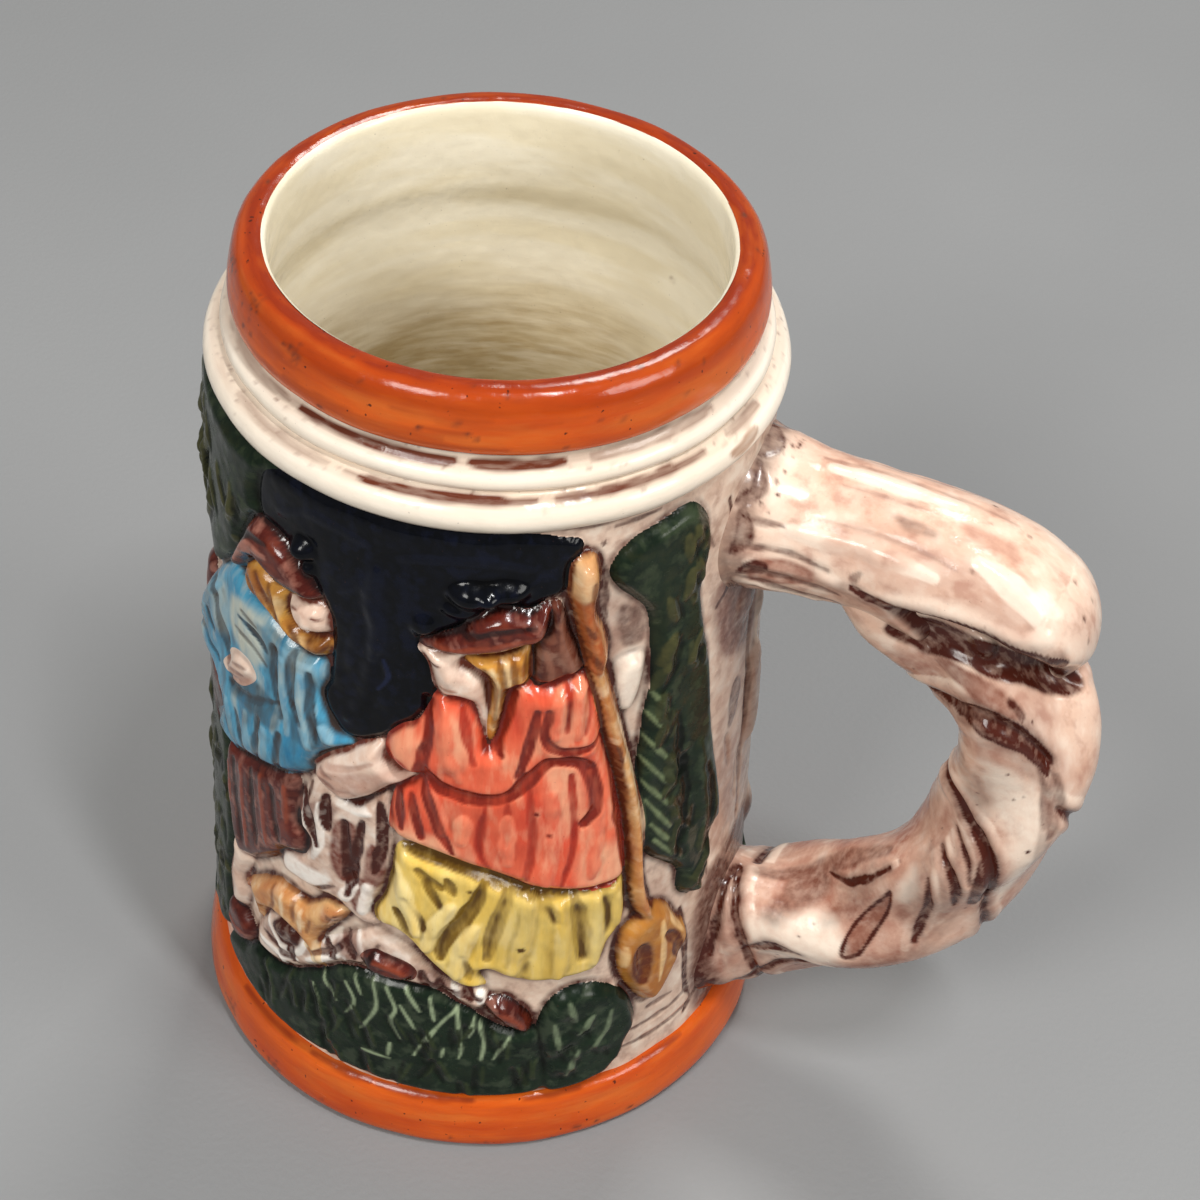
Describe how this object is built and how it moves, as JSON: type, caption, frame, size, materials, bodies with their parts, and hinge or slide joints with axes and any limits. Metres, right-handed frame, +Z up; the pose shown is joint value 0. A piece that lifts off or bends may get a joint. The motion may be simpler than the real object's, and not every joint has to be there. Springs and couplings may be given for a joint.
{
  "type": "relief mug",
  "caption": "Tapered glazed pottery mug with a moulded scene of walkers round its wall, an orange rim and foot, and a handle like a twisted branch.",
  "frame": {"origin": "middle of the flat underside, on the mug's own axis, on the surface that the mug stands on", "axes": "+Z up along the mug's axis, +X through the handle, so that the moulded scene faces between -X and -Y"},
  "size_m": [0.135, 0.0886, 0.14],
  "materials": {
    "orange_glaze": "gloss orange glaze with brown specks",
    "cream_glaze": "gloss cream glaze with brown wash in its grooves",
    "ivory_glaze": "gloss ivory glaze",
    "bisque": "bare matt fired clay",
    "branch_glaze": "gloss cream glaze with a pinkish brown wash",
    "navy_glaze": "blue-black satin glaze",
    "forest_glaze": "dark green satin glaze",
    "meadow_glaze": "dark green gloss glaze with pale strokes",
    "maroon_glaze": "gloss maroon glaze",
    "skin_glaze": "gloss pale glaze with brown wash",
    "straw_glaze": "gloss straw-orange glaze",
    "umber_glaze": "gloss umber glaze",
    "coral_glaze": "gloss coral glaze, brushed",
    "yellow_glaze": "gloss yellow glaze with olive strokes",
    "blue_glaze": "gloss sky-blue glaze, brushed",
    "tan_glaze": "gloss tan-orange glaze",
    "rock_glaze": "gloss pinkish cream glaze with brown wash",
    "snow_glaze": "gloss pale grey-white glaze"
  },
  "bodies": {
    "root": {"barrel_wall": "ivory_glaze", "base_disc": "bisque", "foot_band": "orange_glaze", "collar_bead_lower": "cream_glaze", "collar_bead_upper": "cream_glaze", "rim_band": "orange_glaze", "handle_upper_root": "branch_glaze", "handle_limb": "branch_glaze", "handle_twist": "branch_glaze", "handle_lower_root": "branch_glaze", "walker_left_hat": "maroon_glaze", "walker_left_face": "skin_glaze", "walker_left_hair": "straw_glaze", "walker_left_jacket": "blue_glaze", "walker_left_trousers": "maroon_glaze", "walker_left_stocking": "skin_glaze", "walker_left_shoe": "maroon_glaze", "walker_linked_arm": "skin_glaze", "walker_right_hat": "maroon_glaze", "walker_right_face": "skin_glaze", "walker_right_hair": "straw_glaze", "walker_right_bundle": "umber_glaze", "walker_right_jacket": "coral_glaze", "walker_right_skirt": "yellow_glaze", "walker_front_shoe": "maroon_glaze", "walker_back_shoe": "maroon_glaze", "walking_staff": "tan_glaze", "staff_bundle": "straw_glaze", "night_sky": "navy_glaze", "left_tree": "forest_glaze", "left_hedge": "forest_glaze", "right_tree": "forest_glaze", "rock_bank": "rock_glaze", "dog": "tan_glaze", "low_rocks": "rock_glaze", "front_grass": "meadow_glaze", "bush": "meadow_glaze", "back_meadow": "meadow_glaze", "back_hill": "rock_glaze", "back_peak": "snow_glaze", "back_hut": "tan_glaze", "back_hut_roof": "umber_glaze", "back_fir_left": "forest_glaze", "back_fir_right": "forest_glaze"}
  },
  "joints": []
}
